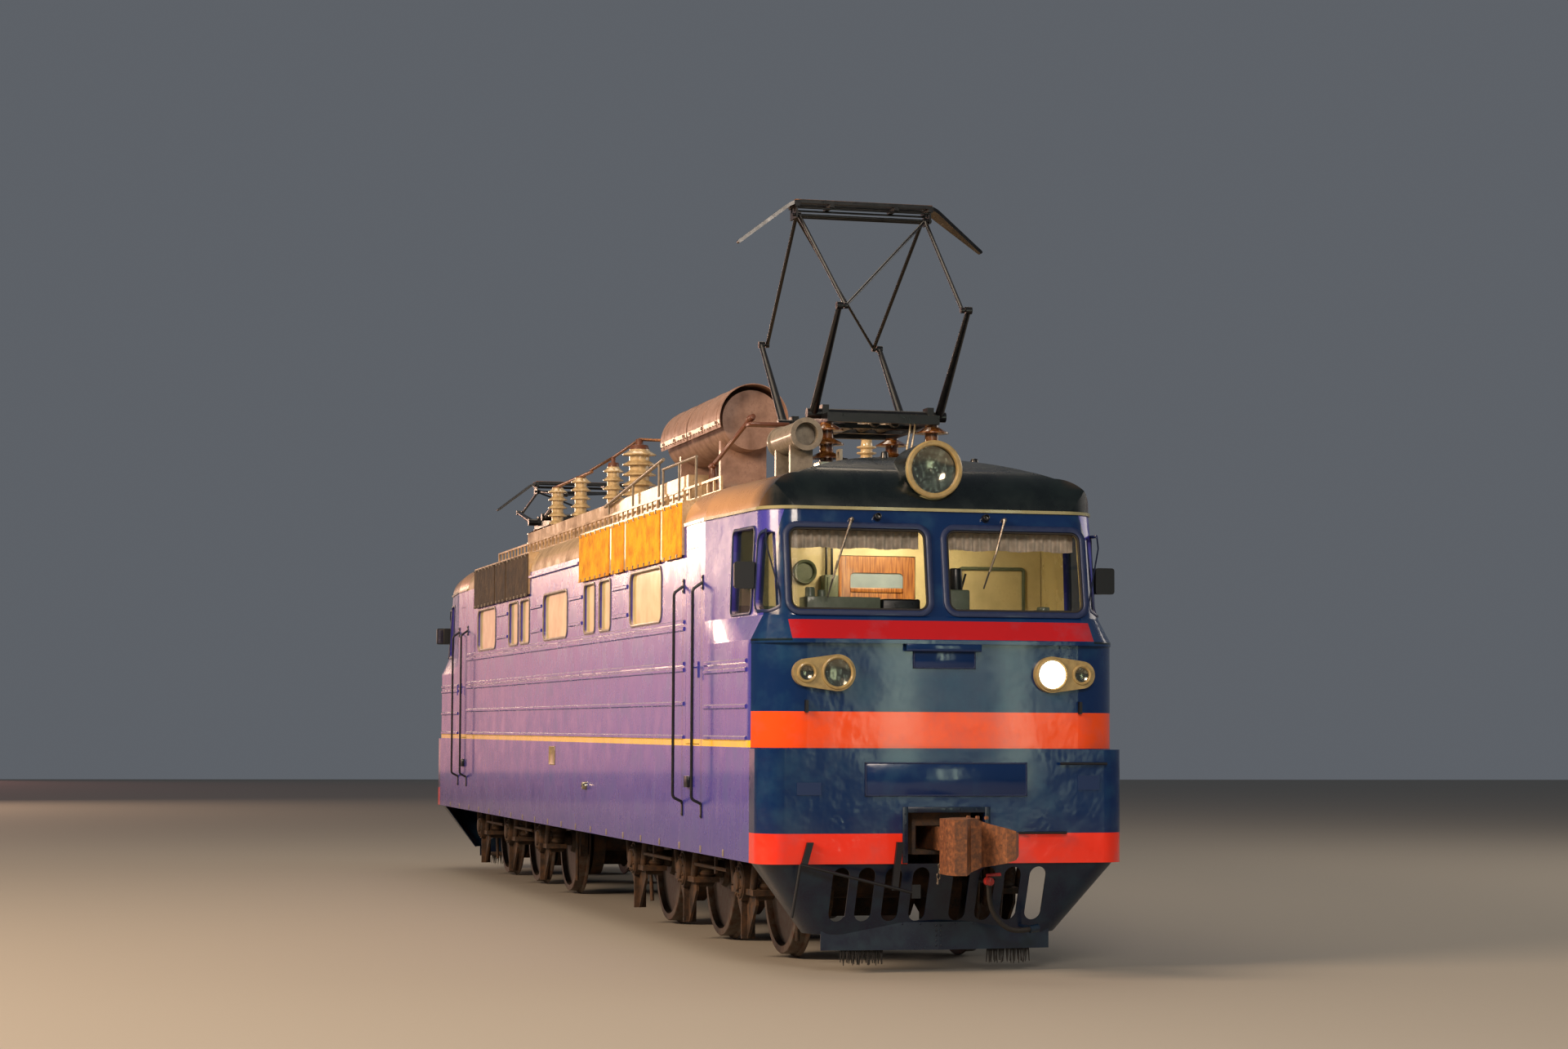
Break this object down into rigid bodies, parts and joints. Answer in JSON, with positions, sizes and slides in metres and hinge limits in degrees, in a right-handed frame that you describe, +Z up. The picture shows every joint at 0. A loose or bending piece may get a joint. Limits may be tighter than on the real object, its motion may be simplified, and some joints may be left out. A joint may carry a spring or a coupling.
{
  "type": "electric locomotive",
  "caption": "Mainline electric locomotive with a cab at each end, swivelling bogies, working doors and folding roof pantographs.",
  "frame": {"origin": "on the floor under the wheel flanges, below the middle of the locomotive", "axes": "+X forward to the end with the raised pantograph, +Y to the left, +Z up"},
  "size_m": [20.8, 3.306, 6.6928],
  "materials": {
    "body_paint": "semi-gloss enamel",
    "trim_paint": "semi-gloss enamel",
    "roof_paint": "matt enamel",
    "cab_roof_paint": "matt enamel",
    "cover_paint": "semi-gloss enamel",
    "frame_paint": "dusty matt enamel",
    "black_paint": "matt enamel",
    "cast_steel": "rough cast",
    "wheel_steel": "worn",
    "glazed_porcelain": "glazed",
    "bus_metal": "dull",
    "glass": "clear",
    "cab_paint": "satin enamel",
    "wood": "varnished",
    "seat_cover": "grained",
    "curtain_cloth": "pleated",
    "rubber_hose": "matt"
  },
  "bodies": {
    "locomotive": {"air_reservoir": "roof_paint", "brake_hose": "rubber_hose", "busbars": "bus_metal", "cab_curtains": "curtain_cloth", "cab_exterior_fittings": "black_paint", "cab_fittings": "cab_paint", "cab_front": "body_paint", "cab_glass": "glass", "cab_rear": "body_paint", "cab_roofs": "cab_roof_paint", "grille_boxes": "roof_paint", "grille_covers": "cover_paint", "handrails": "black_paint", "lamp_glass": "glass", "lamp_pods": "trim_paint", "pantograph_bases": "black_paint", "pantograph_insulators": "glazed_porcelain", "pilots": "frame_paint", "roof": "roof_paint", "roof_ducts": "roof_paint", "roof_fittings": "roof_paint", "roof_posts": "glazed_porcelain", "roof_rail_strips": "roof_paint", "seat_cushions": "seat_cover", "side_wall_left": "body_paint", "side_wall_right": "body_paint", "side_windows": "glass", "transformer": "frame_paint", "underfloor_gear": "frame_paint", "underframe": "frame_paint"},
    "bogie_front": {"axle_boxes_front": "cast_steel", "bogie_frame_front": "frame_paint", "traction_motors_front": "frame_paint"},
    "wheels_front_outer": {"wheelset_front_outer": "wheel_steel"},
    "wheels_front_middle": {"wheelset_front_middle": "wheel_steel"},
    "wheels_front_inner": {"wheelset_front_inner": "wheel_steel"},
    "door_front_right_leaf": {"door_front_right": "body_paint"},
    "door_front_left_leaf": {"door_front_left": "body_paint"},
    "partition_door_front_leaf": {"cab_partition_door_front": "wood"},
    "coupler_front_head": {"coupler_front": "cast_steel"},
    "pantograph_front_fore_arms_body": {"pantograph_front_fore_arms": "black_paint"},
    "pantograph_front_aft_arms_body": {"pantograph_front_aft_arms": "black_paint"},
    "pantograph_front_fore_frame_body": {"pantograph_front_fore_frame": "black_paint"},
    "pantograph_front_aft_frame_body": {"pantograph_front_aft_frame": "black_paint"},
    "pantograph_front_head_body": {"pantograph_front_head": "black_paint"},
    "bogie_rear": {"axle_boxes_rear": "cast_steel", "bogie_frame_rear": "frame_paint", "traction_motors_rear": "frame_paint"},
    "wheels_rear_outer": {"wheelset_rear_outer": "wheel_steel"},
    "wheels_rear_middle": {"wheelset_rear_middle": "wheel_steel"},
    "wheels_rear_inner": {"wheelset_rear_inner": "wheel_steel"},
    "door_rear_right_leaf": {"door_rear_right": "body_paint"},
    "door_rear_left_leaf": {"door_rear_left": "body_paint"},
    "partition_door_rear_leaf": {"cab_partition_door_rear": "wood"},
    "coupler_rear_head": {"coupler_rear": "cast_steel"},
    "pantograph_rear_fore_arms_body": {"pantograph_rear_fore_arms": "black_paint"},
    "pantograph_rear_aft_arms_body": {"pantograph_rear_aft_arms": "black_paint"},
    "pantograph_rear_fore_frame_body": {"pantograph_rear_fore_frame": "black_paint"},
    "pantograph_rear_aft_frame_body": {"pantograph_rear_aft_frame": "black_paint"},
    "pantograph_rear_head_body": {"pantograph_rear_head": "black_paint"}
  },
  "joints": [
    {"name": "bogie_front_swivel", "type": "hinge", "parent": "locomotive", "child": "bogie_front", "pos_m": [5.1, 0, 1.2], "axis": [0, 0, 1], "range_deg": [-2.5, 2.5]},
    {"name": "wheels_front_outer_roll", "type": "hinge", "parent": "bogie_front", "child": "wheels_front_outer", "pos_m": [7.4, 0, 0.655], "axis": [0, 1, 0], "continuous": true},
    {"name": "wheels_front_middle_roll", "type": "hinge", "parent": "bogie_front", "child": "wheels_front_middle", "pos_m": [5.1, 0, 0.655], "axis": [0, 1, 0], "continuous": true},
    {"name": "wheels_front_inner_roll", "type": "hinge", "parent": "bogie_front", "child": "wheels_front_inner", "pos_m": [2.8, 0, 0.655], "axis": [0, 1, 0], "continuous": true},
    {"name": "bogie_rear_swivel", "type": "hinge", "parent": "locomotive", "child": "bogie_rear", "pos_m": [-5.1, 0, 1.2], "axis": [0, 0, 1], "range_deg": [-2.5, 2.5]},
    {"name": "wheels_rear_outer_roll", "type": "hinge", "parent": "bogie_rear", "child": "wheels_rear_outer", "pos_m": [-7.4, 0, 0.655], "axis": [0, 1, 0], "continuous": true},
    {"name": "wheels_rear_middle_roll", "type": "hinge", "parent": "bogie_rear", "child": "wheels_rear_middle", "pos_m": [-5.1, 0, 0.655], "axis": [0, 1, 0], "continuous": true},
    {"name": "wheels_rear_inner_roll", "type": "hinge", "parent": "bogie_rear", "child": "wheels_rear_inner", "pos_m": [-2.8, 0, 0.655], "axis": [0, 1, 0], "continuous": true},
    {"name": "door_front_right_swing", "type": "hinge", "parent": "locomotive", "child": "door_front_right_leaf", "pos_m": [6.666, -1.476, 1.995], "axis": [0, 0, 1], "range_deg": [0, 90]},
    {"name": "door_front_left_swing", "type": "hinge", "parent": "locomotive", "child": "door_front_left_leaf", "pos_m": [6.666, 1.476, 1.995], "axis": [0, 0, -1], "range_deg": [0, 90]},
    {"name": "door_rear_left_swing", "type": "hinge", "parent": "locomotive", "child": "door_rear_left_leaf", "pos_m": [-6.666, 1.476, 1.995], "axis": [0, 0, 1], "range_deg": [0, 90]},
    {"name": "door_rear_right_swing", "type": "hinge", "parent": "locomotive", "child": "door_rear_right_leaf", "pos_m": [-6.666, -1.476, 1.995], "axis": [0, 0, -1], "range_deg": [0, 90]},
    {"name": "partition_door_front_swing", "type": "hinge", "parent": "locomotive", "child": "partition_door_front_leaf", "pos_m": [7.436, 0.314, 1.795], "axis": [0, 0, -1], "range_deg": [0, 90]},
    {"name": "coupler_front_sway", "type": "hinge", "parent": "locomotive", "child": "coupler_front_head", "pos_m": [8.75, 0, 1.09], "axis": [0, 0, 1], "range_deg": [-10, 10]},
    {"name": "partition_door_rear_swing", "type": "hinge", "parent": "locomotive", "child": "partition_door_rear_leaf", "pos_m": [-7.436, -0.314, 1.795], "axis": [0, 0, -1], "range_deg": [0, 90]},
    {"name": "coupler_rear_sway", "type": "hinge", "parent": "locomotive", "child": "coupler_rear_head", "pos_m": [-8.75, 0, 1.09], "axis": [0, 0, 1], "range_deg": [-10, 10]},
    {"name": "pantograph_front_lift", "type": "hinge", "parent": "locomotive", "child": "pantograph_front_fore_arms_body", "pos_m": [7.35, 0, 4.73], "axis": [0, -1, 0], "range_deg": [-34.3, 5.7]},
    {"name": "pantograph_front_fore_knee", "type": "hinge", "parent": "pantograph_front_fore_arms_body", "child": "pantograph_front_fore_frame_body", "pos_m": [8.20883, 0, 5.5681], "axis": [0, -1, 0], "range_deg": [-10.88, 65.42]},
    {"name": "pantograph_front_head_tilt", "type": "hinge", "parent": "pantograph_front_fore_frame_body", "child": "pantograph_front_head_body", "pos_m": [6.88, 0, 6.56299], "axis": [0, -1, 0], "range_deg": [-31.12, 5.18]},
    {"name": "pantograph_front_aft_lift", "type": "hinge", "parent": "locomotive", "child": "pantograph_front_aft_arms_body", "pos_m": [6.31, 0, 4.73], "axis": [0, -1, 0], "range_deg": [-5.71, 34.31]},
    {"name": "pantograph_front_aft_knee", "type": "hinge", "parent": "pantograph_front_aft_arms_body", "child": "pantograph_front_aft_frame_body", "pos_m": [5.45117, 0, 5.5681], "axis": [0, -1, 0], "range_deg": [-65.42, 10.88]},
    {"name": "pantograph_rear_lift", "type": "hinge", "parent": "locomotive", "child": "pantograph_rear_fore_arms_body", "pos_m": [-6.31, 0, 4.73], "axis": [0, -1, 0], "range_deg": [0, 40]},
    {"name": "pantograph_rear_fore_knee", "type": "hinge", "parent": "pantograph_rear_fore_arms_body", "child": "pantograph_rear_fore_frame_body", "pos_m": [-5.12823, 0, 4.93838], "axis": [0, -1, 0], "range_deg": [-75.9, 0.01]},
    {"name": "pantograph_rear_head_tilt", "type": "hinge", "parent": "pantograph_rear_fore_frame_body", "child": "pantograph_rear_head_body", "pos_m": [-6.78, 0, 5.10348], "axis": [0, -1, 0], "range_deg": [-0.01, 35.9]},
    {"name": "pantograph_rear_aft_lift", "type": "hinge", "parent": "locomotive", "child": "pantograph_rear_aft_arms_body", "pos_m": [-7.35, 0, 4.73], "axis": [0, -1, 0], "range_deg": [-40.01, 0.01]},
    {"name": "pantograph_rear_aft_knee", "type": "hinge", "parent": "pantograph_rear_aft_arms_body", "child": "pantograph_rear_aft_frame_body", "pos_m": [-8.53177, 0, 4.93838], "axis": [0, -1, 0], "range_deg": [-0.01, 75.9]}
  ],
  "couplings": [
    {"joint": "pantograph_front_fore_knee", "follows": "pantograph_front_lift", "ratio": -1.9071},
    {"joint": "pantograph_front_head_tilt", "follows": "pantograph_front_lift", "ratio": 0.90712},
    {"joint": "pantograph_front_aft_lift", "follows": "pantograph_front_lift", "ratio": -1},
    {"joint": "pantograph_front_aft_knee", "follows": "pantograph_front_lift", "ratio": 1.9071},
    {"joint": "pantograph_rear_fore_knee", "follows": "pantograph_rear_lift", "ratio": -1.8973},
    {"joint": "pantograph_rear_head_tilt", "follows": "pantograph_rear_lift", "ratio": 0.8973},
    {"joint": "pantograph_rear_aft_lift", "follows": "pantograph_rear_lift", "ratio": -1},
    {"joint": "pantograph_rear_aft_knee", "follows": "pantograph_rear_lift", "ratio": 1.8973}
  ]
}
